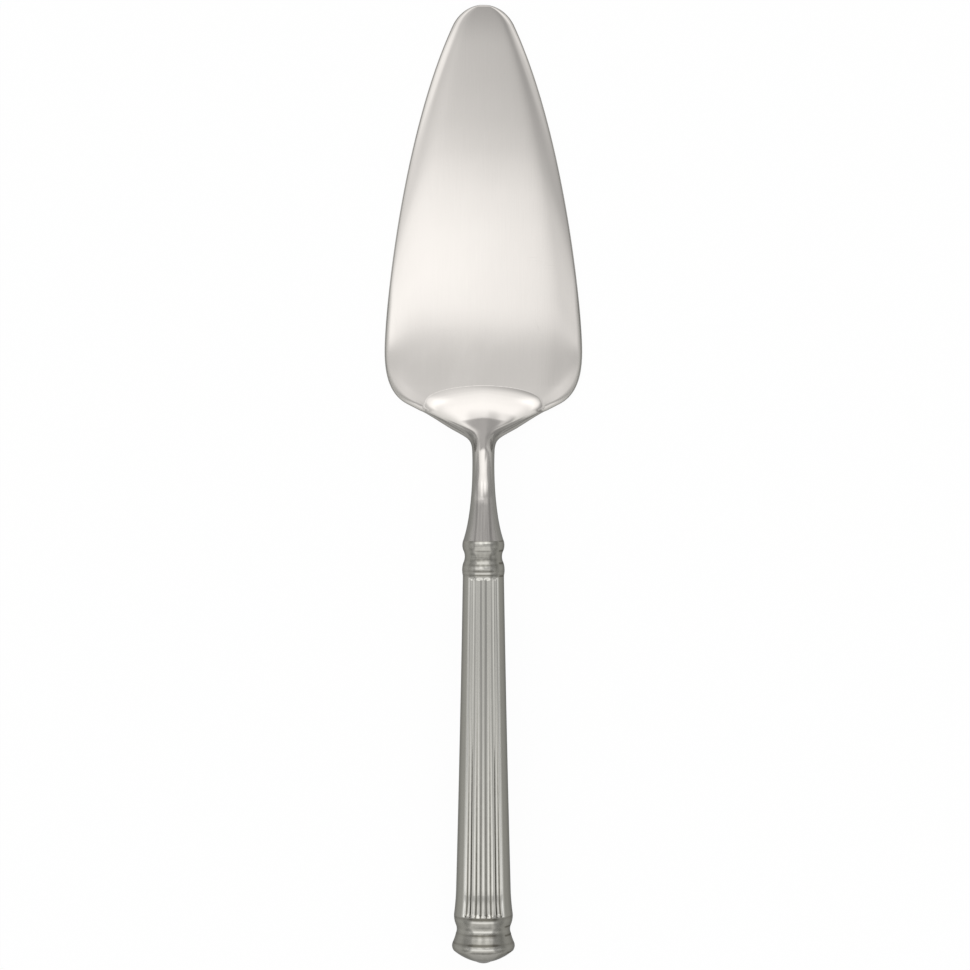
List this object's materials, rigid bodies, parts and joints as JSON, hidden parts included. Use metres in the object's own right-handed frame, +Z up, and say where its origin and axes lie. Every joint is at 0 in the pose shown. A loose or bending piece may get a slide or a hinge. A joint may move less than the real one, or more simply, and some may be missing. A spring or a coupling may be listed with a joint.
{
  "type": "cake server",
  "caption": "Cake server with a flat leaf-shaped blade, a swan neck and a hollow, fluted column handle ending in a domed pommel.",
  "frame": {"origin": "on the table, under the middle of the server's length and width", "axes": "+Y along the server to the tip of the blade, +Z up from the table, +X across the blade"},
  "size_m": [0.0546, 0.2639, 0.019],
  "materials": {
    "satin_steel": "satin",
    "polished_steel": "polished",
    "braze": "polished",
    "cement": "matte"
  },
  "bodies": {
    "root": {"blade": "satin_steel", "handle_front_shell": "polished_steel", "handle_back_shell": "polished_steel", "seam_braze": "braze", "handle_cement": "cement"}
  },
  "joints": []
}
